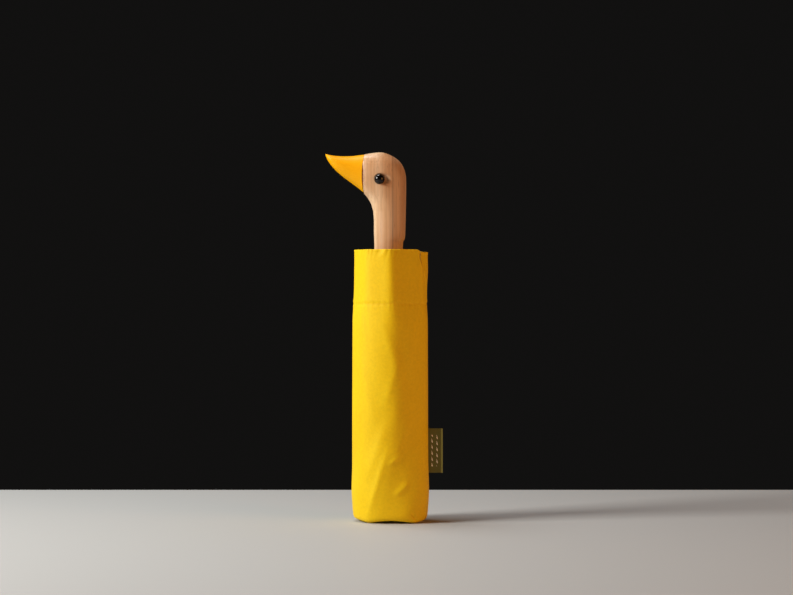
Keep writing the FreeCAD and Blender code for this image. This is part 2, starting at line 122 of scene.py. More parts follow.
lamp("key_lamp", (-1.3, -0.5, 0.9), (0, 0, 0.25), 0.5, 31, "#fffaf2")
lamp("fill_lamp", (1.7, -1.1, 0.6), (0, 0, 0.18), 1.2, 17, "#ffae6c")
lamp("top_lamp", (-0.35, 0.15, 1.5), (0, 0, 0.25), 0.5, 9, "#ffffff")
world = bpy.data.worlds.new("room")
world.use_nodes = True
world.node_tree.nodes["Background"].inputs["Color"].default_value = linear("#b9b5b2")
world.node_tree.nodes["Background"].inputs["Strength"].default_value = 0.012
bpy.context.scene.world = world
bpy.context.scene.view_settings.view_transform = "Standard"

table_mesh = bpy.data.meshes.new("table")
table_mesh.from_pydata([(-2, -2, 0), (2, -2, 0), (2, 0.29, 0), (-2, 0.29, 0)], [], [(0, 1, 2, 3)])
table = bpy.data.objects.new("table", table_mesh)
bpy.context.collection.objects.link(table)
paper, tree, shader = material("matte_paper", Base_Color=linear("#b5b8b9"), Roughness=0.7)
table_mesh.materials.append(paper)

MM = 0.001


# ---------------------------------------------------------------- sleeve
# The sleeve is a pocket of plain-woven yellow polyester, sewn up one side, with a wide stitched top hem, a slit
# at the top of the seam, and a sewn-in base. It is pulled over the furled umbrella, whose folded ribs push it
# out into soft facets.
def skin(name, grid, wrap=False, uv=None):
    """A smooth mesh from a grid of points, rows by columns. Each cell is a face, and with wrap the last column
    joins the first. Points that meet are welded, which closes seams and poles, and faces are turned outwards."""
    rows, columns = grid.shape[:2]
    index = np.arange(rows * columns).reshape(rows, columns)
    if wrap:
        index = np.concatenate([index, index[:, :1]], 1)
    faces = np.stack([index[:-1, :-1], index[:-1, 1:], index[1:, 1:], index[1:, :-1]], -1).reshape(-1, 4)
    mesh = bpy.data.meshes.new(name)
    mesh.from_pydata(grid.reshape(-1, 3).tolist(), [], faces.tolist())
    if uv is not None:
        if wrap:
            uv = np.concatenate([uv, uv[:, :1]], 1)
        corners = np.stack([uv[:-1, :-1], uv[:-1, 1:], uv[1:, 1:], uv[1:, :-1]], 2).reshape(-1)
        mesh.uv_layers.new(name="cloth").data.foreach_set("uv", corners.astype(np.float32))
    return finished(name, mesh)


def finished(name, mesh):
    """Welds a mesh, turns its faces outwards, shades it smooth up to 50 degrees and links it as a piece."""
    work = bmesh.new()
    work.from_mesh(mesh)
    bmesh.ops.remove_doubles(work, verts=work.verts, dist=2e-6)
    bmesh.ops.dissolve_degenerate(work, edges=work.edges, dist=1e-7)
    bmesh.ops.recalc_face_normals(work, faces=work.faces)
    work.to_mesh(mesh)
    work.free()
    mesh.shade_smooth()
    mesh.set_sharp_from_angle(angle=math.radians(50))
    piece = bpy.data.objects.new(name, mesh)
    bpy.context.collection.objects.link(piece)
    return piece


def smooth(values, passes):
    """Runs a short average along an array, ends held, to take the kinks out."""
    for _ in range(passes):
        inner = (values[:-2] + 2 * values[1:-1] + values[2:]) / 4
        values = np.concatenate([values[:1], inner, values[-1:]])
    return values


def step(x, low, high):
    """Smooth step from 0 at low to 1 at high."""
    t = np.clip((x - low) / (high - low), 0, 1)
    return t * t * (3 - 2 * t)


def bell(x, width):
    """1 at x = 0, and fading on both sides over the width."""
    return np.exp(-(x / width) ** 2)


sleeve_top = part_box("sleeve")[1].z / MM
SLEEVE_ROWS = 236
BASE_ROWS = 36
SLEEVE_COLUMNS = 204
HEM_Z = 200.8
SLIT_Z = 233.0
FOOT_R = 8.5
ARCH_HIGH = 3.6
BASE_RAISED = 1.6
SLIT_GAP = 3.8
SLIT_TUCK = 1.9
# Radii that turn an angle into a length along the cloth, for its threads and for its seam
UNROLL_R = 30
SEAM_R = 32
CLOTH_THICK = 0.45
WEFT_PITCH = 0.0011
# Facets of the bundle: direction of the face, degrees from +X, and its distance from the axis
FACETS = ((345, 33.2), (25, 33.0), (62, 29.5), (105, 29.0), (150, 30.0), (182, 34.6), (213, 29.8), (251, 28.6),
          (300, 27.8))
# Folds: where each starts, X and Z, how far it runs along X and Z, its half width and its height
FRONT_FOLDS = ((5.2, 26.3, 11.4, 10.6, 3.0, 0.85), (0, 55, 12, 9, 2.0, 0.6), (-4, 90, -16, -46, 5, 0.9),
               (18, 96, -14, -40, 4.5, 0.7), (-5, 60, -14, -50, 3.0, 0.8), (-26, 150, 12, -60, 4.5, 0.5),
               (10, 170, 9, -55, 5, -0.5), (26, 60, -8, -40, 5.0, -0.5), (-24, 196, 5, -26, 2.4, -0.3),
               (24, 190, -9, -50, 4.0, 0.4), (-6, 182, 14, -46, 4.5, 0.5), (8, 150, -12, -40, 4, 0.45),
               (20.5, 8.6, 5.5, -6.5, 0.8, -1.3))
BACK_FOLDS = ((20, 150, -22, -60, 4.5, 0.9), (-18, 96, 14, -50, 4.0, -0.7), (6, 70, -16, -46, 4, 0.9),
              (14, 196, -6, -30, 2.6, -0.5), (-20, 60, 12, -40, 3.5, 0.8), (-2, 180, 4, -50, 5, 0.5),
              (-10, 30, 24, 6, 3, 0.7))


def facet_radius(angle, turned, sharp):
    """Radius of a polygon with softened corners: the inverse of the p-norm of facing / distance over facets."""
    total = 0
    for direction, distance in FACETS:
        facing = np.maximum(np.cos(angle - np.radians(direction) - turned), 0)
        total = total + (facing / distance) ** sharp
    return total ** (-1 / sharp)


def folded(across, along, folds):
    """Sum of soft straight folds on the cloth. Each is a bell across its line, faded at both ends."""
    total = np.zeros_like(across)
    for x, z, run_x, run_z, width, height in folds:
        run = math.hypot(run_x, run_z)
        forward = ((across - x) * run_x + (along - z) * run_z) / run
        aside = ((across - x) * run_z - (along - z) * run_x) / run
        ends = step(forward, -0.25 * run, 0.3 * run) * (1 - step(forward, 0.7 * run, 1.25 * run))
        total = total + height * bell(aside, width) * ends
    return total


def sleeve_outside():
    """The sleeve's outer face, in mm. Rows run from the rim down the wall, round the foot and in to the middle
    of the base; columns run round from the seam and back to it. The wall is the faceted outline, scaled at each
    height to the pocket's width and depth, plus folds, hem and rim puckers, and the groove of the seam."""
    wall_rows = SLEEVE_ROWS - BASE_ROWS
    down = np.concatenate([np.linspace(0, 1, wall_rows), 1 + np.linspace(0, 1, BASE_ROWS + 1)[1:]])[:, None]
    round_part = np.clip(down - 1, 0, 0.5) * 2
    base_part = np.clip(down - 1.5, 0, 0.5) * 2
    height = sleeve_top + (FOOT_R - sleeve_top) * np.minimum(down, 1)
    seam_angle = np.radians(-31) * step(height, 196, 246)
    gap = SLIT_GAP / UNROLL_R * np.clip((height - SLIT_Z) / (sleeve_top - SLIT_Z), 0, 1) ** 0.75
    across = np.linspace(0, 1, SLEEVE_COLUMNS)[None, :]
    angle = seam_angle + gap / 2 + across * (2 * np.pi - gap)

    levels = height[:, 0]
    twist = np.radians((-34, -24, -14, 9, 5, -1, -4))
    turned = smooth(np.interp(levels, (8, 28, 50, 93, 140, 195, 250), twist), 60)
    sharp = smooth(np.interp(levels, (8, 60, 110, 180, 210, 250), (9, 11, 8, 8, 18, 22)), 40)
    radius = facet_radius(angle, turned[:, None], sharp[:, None])
    x = radius * np.cos(angle)
    y = radius * np.sin(angle)
    half_wide = smooth(np.interp(levels, (7, 14, 28, 50, 188, 202, 215, 251),
                                 (34.2, 34.9, 35.8, 35, 34.6, 33.6, 33.0, 32.6)), 20)
    half_deep = smooth(np.interp(levels, (7, 28, 60, 180, 251), (28.5, 30.0, 30.4, 30.2, 28.6)), 20)
    right = half_wide * (1 + 0.05 * step(levels, 200, 235)) + 0.4
    x = np.where(x < 0, x * (half_wide / -x.min(1))[:, None], x * (right / x.max(1))[:, None])
    y = y * (half_deep / np.abs(y).max(1))[:, None]

    level = height - FOOT_R * np.sin(round_part * np.pi / 2)
    push = step(-y, 2, 16) * folded(x, level + 0 * x, FRONT_FOLDS)
    push = push + step(y, 2, 16) * folded(x, level + 0 * x, BACK_FOLDS)
    # Cloth drawn up by the hem's thread and by the rim's: short upright ripples of uneven pitch
    drawn = 0.35 + 0.65 * np.sin(angle * 2 + 2.2).clip(0)
    ripple = np.sin(angle * 41 + 2.1 * np.sin(angle * 5)) + 0.6 * np.sin(angle * 67 + 1.3 * np.sin(angle * 7))
    push = push + 0.30 * drawn * ripple * bell(height - HEM_Z, 4.5)
    from_pucker = np.mod(angle - math.radians(256) + np.pi, 2 * np.pi) - np.pi
    slack = bell(from_pucker, 0.36) + 0.35
    below = sleeve_top - height
    gather = np.sin(angle * 31 + 2.4 * np.sin(angle * 9 + 1) + 0.3 * below) * (0.6 + 0.4 * np.sin(angle * 13))
    push = push + 0.6 * slack * gather * np.exp(-(below / 6) ** 2)
    # Stitching pulls the hem's lower edge in; the doubled hem stands a little proud above it
    push = push - 0.35 * bell(height - HEM_Z, 1.0) + 0.2 * step(height, HEM_Z, HEM_Z + 2)
    push = push + 0.3 * bell(below, 1.4) - 0.15 * bell(below - 2.0, 0.5) - 0.22 * bell(height - 8.2, 0.6)
    # The side seam is a groove. Above it the front edge laps forward over the back one.
    front_edge = (1 - across) * 2 * np.pi * SEAM_R
    back_edge = across * 2 * np.pi * SEAM_R
    open_top = step(height, SLIT_Z - 6, sleeve_top)
    push = push - 0.7 * bell(np.minimum(front_edge, back_edge), 1.1) * (1 - step(height, SLIT_Z - 4, SLIT_Z))
    push = push + open_top * (0.4 * bell(front_edge, 6.0) - SLIT_TUCK * bell(back_edge, 6.0))
    size = np.hypot(x, y)
    x = x * (1 + push / size)
    y = y * (1 + push / size)

    # The foot rounds in. It stands on its four corners and arches up between them.
    arch = ARCH_HIGH * (0.5 - 0.5 * np.cos(4 * (angle - math.radians(47)))) ** 0.7
    inset = FOOT_R * 1.1 * (1 - np.sqrt(1 - round_part ** 2))
    foot = wall_rows - 1
    shrink = (1 - inset / np.hypot(x[foot], y[foot])) * (1 - base_part)
    z = level + arch * round_part ** 2 * (1 - base_part ** 2)
    z = z + BASE_RAISED * step(base_part, 0, 0.12)
    # The back edge's rim is lower than the front's, whose corner is rounded
    z = z - open_top * (2.2 * (1 - step(across, 0.12, 0.20)) + 1.2 * np.exp(-front_edge / 1.2))
    points = np.stack([x * shrink, y * shrink, z], -1)
    uv = np.stack([angle * UNROLL_R + 0 * z, height - 10 * (down - 1).clip(0) + 0 * z], -1)
    return points * MM, uv * MM


points, cloth_uv = sleeve_outside()
sleeve = skin("sleeve_cloth", points, uv=cloth_uv)
wall = sleeve.modifiers.new("wall", "SOLIDIFY")
wall.thickness = CLOTH_THICK * MM
wall.offset = -1
wall.use_even_offset = False


def bumped(tree, shader, height, strength, distance):
    """Feeds a height through a bump node into the shader's normal."""
    bump = add(tree, "Bump", {"Height": height}, in_Strength=strength, in_Distance=distance)
    tree.links.new(bump.outputs[0], shader.inputs["Normal"])


def woven(name, colour, shade, roughness, sheen):
    """Plain-woven polyester: threads cross over and under, so the bump is a fine chequer of two sine rows; broad
    patches of slightly deeper colour stand for uneven dye. The pitch is drawn at about four times a usual one of
    0.25 mm, as it would not show otherwise. The shader is matt with a soft sheen."""
    made, tree, shader = material(name, Roughness=roughness, Specular_IOR_Level=0.2, Sheen_Weight=sheen)
    place = add(tree, "UVMap", uv_map="cloth")
    split = add(tree, "SeparateXYZ", {0: place.outputs["UV"]})
    waves = []
    for axis in ("X", "Y"):
        scaled = add(tree, "Math", {0: split.outputs[axis]}, operation="MULTIPLY",
                     in_1=2 * math.pi / WEFT_PITCH)
        waves.append(add(tree, "Math", {0: scaled.outputs[0]}, operation="SINE"))
    weave = add(tree, "Math", {0: waves[0].outputs[0], 1: waves[1].outputs[0]}, operation="MULTIPLY")
    where = add(tree, "TexCoord")
    cloud = add(tree, "TexNoise", {"Vector": where.outputs["Object"]}, in_Scale=22.0, in_Detail=3.0)
    slub = add(tree, "TexNoise", {"Vector": where.outputs["Object"]}, in_Scale=420.0, in_Detail=2.0)
    patch = add(tree, "Mix", {0: cloud.outputs["Fac"]}, data_type="RGBA", in_6=linear(colour), in_7=linear(shade))
    threads = add(tree, "MapRange", {0: weave.outputs[0]}, in_1=-1.0, in_2=1.0, in_3=0.93, in_4=1.03)
    grain = add(tree, "MapRange", {0: slub.outputs["Fac"]}, in_1=0.3, in_2=0.7, in_3=0.95, in_4=1.04)
    both = add(tree, "Math", {0: threads.outputs[0], 1: grain.outputs[0]}, operation="MULTIPLY")
    final = add(tree, "VectorMath", {0: patch.outputs[2], "Scale": both.outputs[0]}, operation="SCALE")
    tree.links.new(final.outputs[0], shader.inputs["Base Color"])
    height = add(tree, "Math", {0: weave.outputs[0], 1: slub.outputs["Fac"]}, operation="ADD")
    bumped(tree, shader, height.outputs[0], 0.12, 0.0003)
    return made


sleeve_cloth = woven("polyester_pongee_sleeve", "#f0cb05", "#ebbf03", 0.6, 0.04)
sleeve.data.materials.append(sleeve_cloth)
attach(sleeve, "sleeve")
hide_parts("sleeve")
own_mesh(sleeve)


# ---------------------------------------------------------------- hem stitches
# One row of lock stitch in the same yellow thread holds the sleeve's top hem. Each stitch is a short plump grain
# that lies in the groove, 2.5 mm long with a small gap.
def grains(name, centres, along, outward, half_long, half_thick):
    """Many short threads as one mesh: each is a six-sided spindle about its centre, with its ends drawn to
    points. The profile is a cosine along its length; along and outward are unit vectors at each centre."""
    ring = np.linspace(0, 2 * np.pi, 6, endpoint=False)
    run = np.array((-1, -0.6, 0, 0.6, 1))
    girth = np.cos(run * np.pi / 2).clip(0.02)
    side = np.cross(along, outward)
    spread = np.cos(ring)[:, None, None] * outward + np.sin(ring)[:, None, None] * side
    grid = (centres[None, None] + run[:, None, None, None] * half_long * along[None, None]
            + girth[:, None, None, None] * half_thick * spread[None]).transpose(2, 0, 1, 3)
    count, rows, columns = grid.shape[:3]
    index = np.arange(count * rows * columns).reshape(count, rows, columns)
    index = np.concatenate([index, index[:, :, :1]], 2)
    faces = np.stack([index[:, :-1, :-1], index[:, :-1, 1:], index[:, 1:, 1:], index[:, 1:, :-1]], -1)
    caps = np.concatenate([index[:, 0, :-1][:, ::-1], index[:, -1, :-1]])
    mesh = bpy.data.meshes.new(name)
    mesh.from_pydata(grid.reshape(-1, 3).tolist(), [], faces.reshape(-1, 4).tolist() + caps.tolist())
    return finished(name, mesh)


def sewing_thread(name, colour, roughness):
    """Spun polyester thread: matt, with a fine noise in the bump for its fuzz."""
    made, tree, shader = material(name, Base_Color=linear(colour), Roughness=roughness)
    where = add(tree, "TexCoord")
    fuzz = add(tree, "TexNoise", {"Vector": where.outputs["Object"]}, in_Scale=1500.0)
    bumped(tree, shader, fuzz.outputs["Fac"], 0.4, 0.0002)
    return made


STITCH_PITCH = 3.2
STITCH_HALF_LONG = 1.25
STITCH_HALF_THICK = 0.22
hem_line = points[np.abs(points[:, 0, 2] / MM - HEM_Z).argmin()]
travel = np.concatenate([[0], np.cumsum(np.linalg.norm(np.diff(hem_line, axis=0), axis=1))])
stitch_at = np.arange(2.0, travel[-1] / MM - 2.0, STITCH_PITCH) * MM
centres = np.stack([np.interp(stitch_at, travel, hem_line[:, i]) for i in range(3)], 1)
ahead = np.stack([np.interp(stitch_at + 0.5 * MM, travel, hem_line[:, i]) for i in range(3)], 1) - centres
ahead = ahead / np.linalg.norm(ahead, axis=1)[:, None]
out = np.cross(ahead, np.array((0, 0, 1.0)))
out = out / np.linalg.norm(out, axis=1)[:, None]
stitches = grains("hem_stitches", centres + out * 0.05 * MM, ahead, out, STITCH_HALF_LONG * MM,
                  STITCH_HALF_THICK * MM)
stitches.data.materials.append(sewing_thread("polyester_thread", "#e9bd06", 0.6))
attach(stitches, "sleeve")
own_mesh(stitches)


# ---------------------------------------------------------------- slit edge
# The slit's back edge carries a close row of slanting stitches in brown polyester thread, laid over the raw
# edge of the cloth from the foot of the slit up to the rim. The brown is painted shadow: a dark thread where the
# slit's gap is in shade.
WHIP_HALF_LONG = 0.75
WHIP_HALF_THICK = 0.42
back_edge = points[:SLEEVE_ROWS - BASE_ROWS, 0]
back_edge = back_edge[back_edge[:, 2] / MM > SLIT_Z + 0.5]
edge_up = np.repeat([[0, 0, 1.0]], len(back_edge), 0)
edge_out = back_edge * (1, 1, 0) / np.hypot(back_edge[:, 0], back_edge[:, 1])[:, None]
edge_side = np.cross(edge_up, edge_out)
whip = edge_side * 0.8 + edge_up * 0.6
# Painted shadow: these brown stitches darken the slit's back edge, where the gap is in shade
slit_shadow_thread = grains("slit_shadow_stitches", back_edge - edge_out * 0.2 * MM + edge_side * 0.1 * MM, whip, edge_out,
                  WHIP_HALF_LONG * MM, WHIP_HALF_THICK * MM)
slit_shadow_thread.data.materials.append(sewing_thread("brown_thread_painted_shadow", "#7a3503", 0.7))
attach(slit_shadow_thread, "sleeve")
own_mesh(slit_shadow_thread)


# ---------------------------------------------------------------- label
# A woven ribbon tab, folded double and sewn into the right side seam. Its fold is the outer edge. Slanting rain
# is woven into it with a cream thread.
label_low, label_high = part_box("label")
RIBBON_THICK = 0.3
SEWN_IN = 0.6


def folded_tab():
    """Middle face of the ribbon, in mm. Columns go out along the front, round the fold in a half circle and back
    along the rear, pinched together at the seam; rows go up, and the tab bows forward a little at mid height."""
    wide = (label_high.x - label_low.x) / MM + SEWN_IN + 1.1
    half = (label_high.y - label_low.y) / MM / 2 - RIBBON_THICK / 2
    out_run = np.linspace(0, wide - half, 26)
    bend = np.linspace(-np.pi / 2, np.pi / 2, 9)[1:-1]
    x = np.concatenate([out_run, wide - half + half * np.cos(bend), out_run[::-1]])
    y = np.concatenate([-half + 0 * out_run, half * np.sin(bend), half + 0 * out_run])
    y = y * (0.45 + 0.55 * step(x, 0, 4))
    up = np.linspace(label_low.z / MM, label_high.z / MM, 60)[:, None]
    rise = (up - up.mean()) / (up.max() - up.min())
    bow = 0.4 * np.cos(rise * np.pi) * (x / wide) ** 2
    return np.stack([x + label_low.x / MM - SEWN_IN + 0 * up, y - bow + 0.2, up + 0 * x], -1) * MM


tab = skin("label_tab", folded_tab())
tab_wall = tab.modifiers.new("wall", "SOLIDIFY")
tab_wall.thickness = RIBBON_THICK * MM
tab_wall.offset = 0
ribbon, tree, shader = material("woven_ribbon", Roughness=0.7, Sheen_Weight=0.15)
where = add(tree, "TexCoord")
split = add(tree, "SeparateXYZ", {0: where.outputs["Object"]})
# Rain: columns of dashes, 2.6 mm long at a pitch of 5.6 mm, leaning a little, over the middle 29 mm of the tab
RAIN_PITCH = 0.0056
RAIN_COLUMN = 0.0046
DASH_HALF_LONG = 0.0013
DASH_HALF_WIDE = 0.0005
RAIN_HALF_TALL = 0.0145
offset = add(tree, "Math", {0: split.outputs["X"]}, operation="MULTIPLY", in_1=1.7)
stagger = add(tree, "Math", {0: split.outputs["Z"], 1: offset.outputs[0]}, operation="ADD")
row = add(tree, "Math", {0: stagger.outputs[0]}, operation="PINGPONG", in_1=RAIN_PITCH / 2)
in_row = add(tree, "Math", {0: row.outputs[0]}, operation="LESS_THAN", in_1=DASH_HALF_LONG)
from_edge = add(tree, "Math", {0: split.outputs["X"]}, operation="SUBTRACT", in_1=label_low.x + 0.0018)
lean = add(tree, "Math", {0: row.outputs[0]}, operation="MULTIPLY", in_1=0.35)
leaned = add(tree, "Math", {0: from_edge.outputs[0], 1: lean.outputs[0]}, operation="ADD")
column = add(tree, "Math", {0: leaned.outputs[0]}, operation="PINGPONG", in_1=RAIN_COLUMN / 2)
in_column = add(tree, "Math", {0: column.outputs[0]}, operation="GREATER_THAN",
                in_1=RAIN_COLUMN / 2 - DASH_HALF_WIDE)
rain = add(tree, "Math", {0: in_row.outputs[0], 1: in_column.outputs[0]}, operation="MULTIPLY")
off_middle = add(tree, "Math", {0: split.outputs["Z"]}, operation="SUBTRACT",
                 in_1=(label_low.z + label_high.z) / 2)
distance = add(tree, "Math", {0: off_middle.outputs[0]}, operation="ABSOLUTE")
inside = add(tree, "Math", {0: distance.outputs[0]}, operation="LESS_THAN", in_1=RAIN_HALF_TALL)
before_fold = add(tree, "Math", {0: split.outputs["X"]}, operation="LESS_THAN",
                  in_1=label_high.x - 0.0004)
framed = add(tree, "Math", {0: inside.outputs[0], 1: before_fold.outputs[0]}, operation="MULTIPLY")
shown = add(tree, "Math", {0: rain.outputs[0], 1: framed.outputs[0]}, operation="MULTIPLY")
ribs = add(tree, "TexWave", {"Vector": where.outputs["Object"]}, bands_direction="Z", in_Scale=330.0)
ground = add(tree, "Mix", {0: ribs.outputs["Fac"]}, data_type="RGBA",
             in_6=linear("#4c4c10"), in_7=linear("#696a1e"))
edge = add(tree, "Mix", {0: before_fold.outputs[0], 7: ground.outputs[2]}, data_type="RGBA",
           in_6=linear("#868f48"))
colour = add(tree, "Mix", {0: shown.outputs[0], 6: edge.outputs[2]}, data_type="RGBA", in_7=linear("#f2eede"))
tree.links.new(colour.outputs[2], shader.inputs["Base Color"])
bumped(tree, shader, ribs.outputs["Fac"], 0.3, 0.0002)
tab.data.materials.append(ribbon)
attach(tab, "sleeve")
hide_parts("label")
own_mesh(tab)


# ---------------------------------------------------------------- head and neck
# Neck and head are turned and carved from one piece of pale beech, with its grain upright, and lacquered satin.
# The neck steps in at its foot, and the head is cut on a shallow curve where the beak is glued on.
foot_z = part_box("head_and_neck")[0].z / MM
eye_low, eye_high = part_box("eyes")
eye_centre = (eye_low + eye_high) / 2
EYE_R = (eye_high.x - eye_low.x) / 2
EYE_Z = eye_centre.z / MM - 0.6
# The dish behind each eye: its middle, its half length and half height, and the share of the depth carved away
HOLLOW_X = eye_centre.x / MM + 3.4
HOLLOW_LONG = 5.2
HOLLOW_TALL = 4.0
HOLLOW_DEEP = 0.16
HEAD_ROWS = 300
HEAD_COLUMNS = 200
# Height above the foot, reach to the front, reach to the back, half depth
HEAD_SHAPE = np.array((
    (0, 14.4, 11.9, 13.8), (22, 14.5, 12.0, 14.0), (26.5, 14.6, 12.2, 14.1), (27.8, 14.6, 13.6, 14.3),
    (32, 14.9, 14.1, 14.4), (46, 14.9, 14.5, 14.4), (54, 15.5, 14.7, 14.4), (61, 17.4, 14.8, 14.8),
    (67, 21.0, 14.9, 15.3), (73, 26.5, 15.0, 15.8), (80, 32.0, 15.0, 16.3), (86, 35.0, 14.8, 16.4),
    (89, 35.8, 14.3, 16.2), (92, 36.2, 13.6, 15.8), (94.6, 36.2, 12.5, 15.3), (97.4, 36.2, 11.1, 14.6),
    (100.2, 35.5, 9.0, 13.4), (102.9, 34.0, 5.9, 11.6), (105, 31.0, 2.6, 9.6), (106.3, 26.0, 0.0, 7.8),
    (107.3, 20.5, -2.4, 5.8), (108.0, 16.0, -4.6, 3.9), (108.4, 12.6, -6.6, 2.2), (108.6, 10.0, -8.4, 0.5)))


def joint_x(z):
    """The line where the beak meets the head, in mm: a shallow bow, deepest at 317 mm."""
    return -25.6 + np.where(z > 317, 2.0 * ((z - 317) / 21) ** 2, 1.4 * np.clip((317 - z) / 13, 0, 1.1) ** 2)


def head_points():
    """Neck and head, in mm. Each row is a level ellipse through the reaches to front, back and side, which run
    smoothly up the piece. The front is cut off along the beak's joint, and a dish is carved behind each eye."""
    heights = HEAD_SHAPE[:, 0]
    up = heights[-1] * (1 - (1 - np.linspace(0, 1, HEAD_ROWS)) ** 1.5)
    front, back, deep = (smooth(np.interp(up, heights, HEAD_SHAPE[:, i]), 8)[:, None] for i in (1, 2, 3))
    turn = np.linspace(0, 2 * np.pi, HEAD_COLUMNS, endpoint=False)[None, :]
    x = (back - front) / 2 + (back + front) / 2 * np.cos(turn)
    z = foot_z + up[:, None] + 0 * turn
    y = deep * np.sin(turn)
    from_hollow = np.hypot((x - HOLLOW_X) / HOLLOW_LONG, (z - EYE_Z) / HOLLOW_TALL)
    y = y * (1 - HOLLOW_DEEP * np.exp(-from_hollow ** 4) * step(np.abs(y), 8, 11))
    grid = np.stack([np.maximum(x, joint_x(z)), y, z], -1)
    low = grid[:1].mean(1, keepdims=True) + 0 * grid[:1]
    top = grid[-1:].mean(1, keepdims=True) + 0 * grid[-1:]
    return np.concatenate([low, grid, top]) * MM


head = skin("head_and_neck_wood", head_points(), wrap=True)


def beech():
    """Beech, turned and sanded: straight upright grain, drawn as growth bands that wander a little, and short dark
    flecks. Beyond X = 2 mm it is darker, partly a heartwood tone and partly painted shade on the side away from
    the key lamp, beside a fine dark line. A ring round each eye is darker: painted shade in the bead's socket. A
    thin satin lacquer lies over it all."""
    made, tree, shader = material("lacquered_beech", Roughness=0.45, Coat_Weight=0.3, Coat_Roughness=0.38)
    where = add(tree, "TexCoord")
    split = add(tree, "SeparateXYZ", {0: where.outputs["Object"]})
    drawn = add(tree, "Mapping", {"Vector": where.outputs["Object"]}, in_Scale=(1.0, 1.0, 0.07))
    wander = add(tree, "TexNoise", {"Vector": drawn.outputs[0]}, in_Scale=60.0, in_Detail=3.0)
    bands = add(tree, "TexWave", {"Vector": drawn.outputs[0]}, bands_direction="X", wave_profile="SAW",
                in_Scale=95.0, in_Distortion=5.0, in_Detail=2.0, in_Detail_Scale=1.4)
    flecks = add(tree, "TexNoise", {"Vector": drawn.outputs[0]}, in_Scale=900.0, in_Detail=2.0)
    tone = add(tree, "MapRange", {0: wander.outputs["Fac"]}, in_1=0.36, in_2=0.64)
    pale = add(tree, "Mix", {0: tone.outputs[0]}, data_type="RGBA", in_6=linear("#cd9c6e"), in_7=linear("#ecc9a2"))
    banded = add(tree, "MapRange", {0: bands.outputs["Fac"]}, in_3=1.03, in_4=0.86)
    fleck = add(tree, "MapRange", {0: flecks.outputs["Fac"]}, in_1=0.60, in_2=0.72, in_3=1.0, in_4=0.74)
    shift = add(tree, "MapRange", {0: wander.outputs["Fac"]}, in_3=-0.0012, in_4=0.0012)
    across = add(tree, "Math", {0: split.outputs["X"], 1: shift.outputs[0]}, operation="ADD")
    # Painted shade: beyond X = 2 mm the wood is darkened, partly a heartwood tone and partly the shade on the side
    # away from the key lamp
    heartwood_and_painted_shade = add(tree, "MapRange", {0: across.outputs[0]}, in_1=0.0016, in_2=0.0024, in_3=1.0, in_4=0.84)
    beside = add(tree, "Math", {0: across.outputs[0]}, operation="SUBTRACT", in_1=0.0020)
    away = add(tree, "Math", {0: beside.outputs[0]}, operation="ABSOLUTE")
    line = add(tree, "MapRange", {0: away.outputs[0]}, in_1=0.0002, in_2=0.0008, in_3=0.74, in_4=1.0)
    # Painted shade: the wood is darkened in a thin ring round each eye, standing for the shadow in the bead's
    # socket
    level = add(tree, "VectorMath", {0: where.outputs["Object"]}, operation="MULTIPLY", in_1=(1, 0, 1))
    from_eye = add(tree, "VectorMath", {0: level.outputs[0]}, operation="DISTANCE",
                   in_1=(eye_centre.x, 0, eye_centre.z))
    ring = add(tree, "MapRange", {0: from_eye.outputs["Value"]}, in_1=EYE_R, in_2=EYE_R + 0.0006,
               in_3=0.30, in_4=1.0)
    product = banded
    for factor in (fleck, heartwood_and_painted_shade, line, ring):
        product = add(tree, "Math", {0: product.outputs[0], 1: factor.outputs[0]}, operation="MULTIPLY")
    colour = add(tree, "VectorMath", {0: pale.outputs[2], "Scale": product.outputs[0]}, operation="SCALE")
    tree.links.new(colour.outputs[0], shader.inputs["Base Color"])
    bumped(tree, shader, fleck.outputs[0], 0.15, 0.0002)
    return made


head.data.materials.append(beech())
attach(head, "handle")
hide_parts("head_and_neck")


# ---------------------------------------------------------------- beak
# The beak is a second piece of wood, sprayed with a satin orange-yellow enamel and glued to the head. It is deep
# at the head, narrows to a blunt bill and turns up a little at its tip.
BEAK_TIP = -59.6
GLUE_LINE = 0.35
# Share of the length, top edge, lower edge, half depth
BEAK_SHAPE = np.array(((0, 338.5, 303.6, 14.0), (0.1, 338.0, 307.0, 13.2), (0.3, 337.1, 312.4, 11.8),
                       (0.5, 336.9, 317.4, 10.6), (0.7, 337.2, 323.0, 9.2), (0.85, 337.9, 328.6, 7.4),
                       (0.95, 338.7, 333.6, 4.6), (1.0, 339.2, 338.0, 0.7)))


def beak_points():
    """The beak, in mm. Rows are upright outlines from the joint to the tip; each is an ellipse through the top
    edge, the lower edge and the half depth at that place, which are smooth curves along its length."""
    along = 1 - (1 - np.linspace(0, 1, 100)) ** 1.8
    top, low, deep = (smooth(np.interp(along, BEAK_SHAPE[:, 0], BEAK_SHAPE[:, i]), 5)[:, None] for i in (1, 2, 3))
    turn = np.linspace(0, 2 * np.pi, 120, endpoint=False)[None, :]
    z = (top + low) / 2 + (top - low) / 2 * np.sin(turn)
    y = deep * np.sign(np.cos(turn)) * np.abs(np.cos(turn)) ** 0.9
    start = joint_x(z) - GLUE_LINE
    grid = np.stack([start + (BEAK_TIP - start) * along[:, None], y, z], -1)
    back = grid[:1].mean(1, keepdims=True) + 0 * grid[:1]
    tip = grid[-1:].mean(1, keepdims=True) + 0 * grid[-1:]
    return np.concatenate([back, grid, tip]) * MM


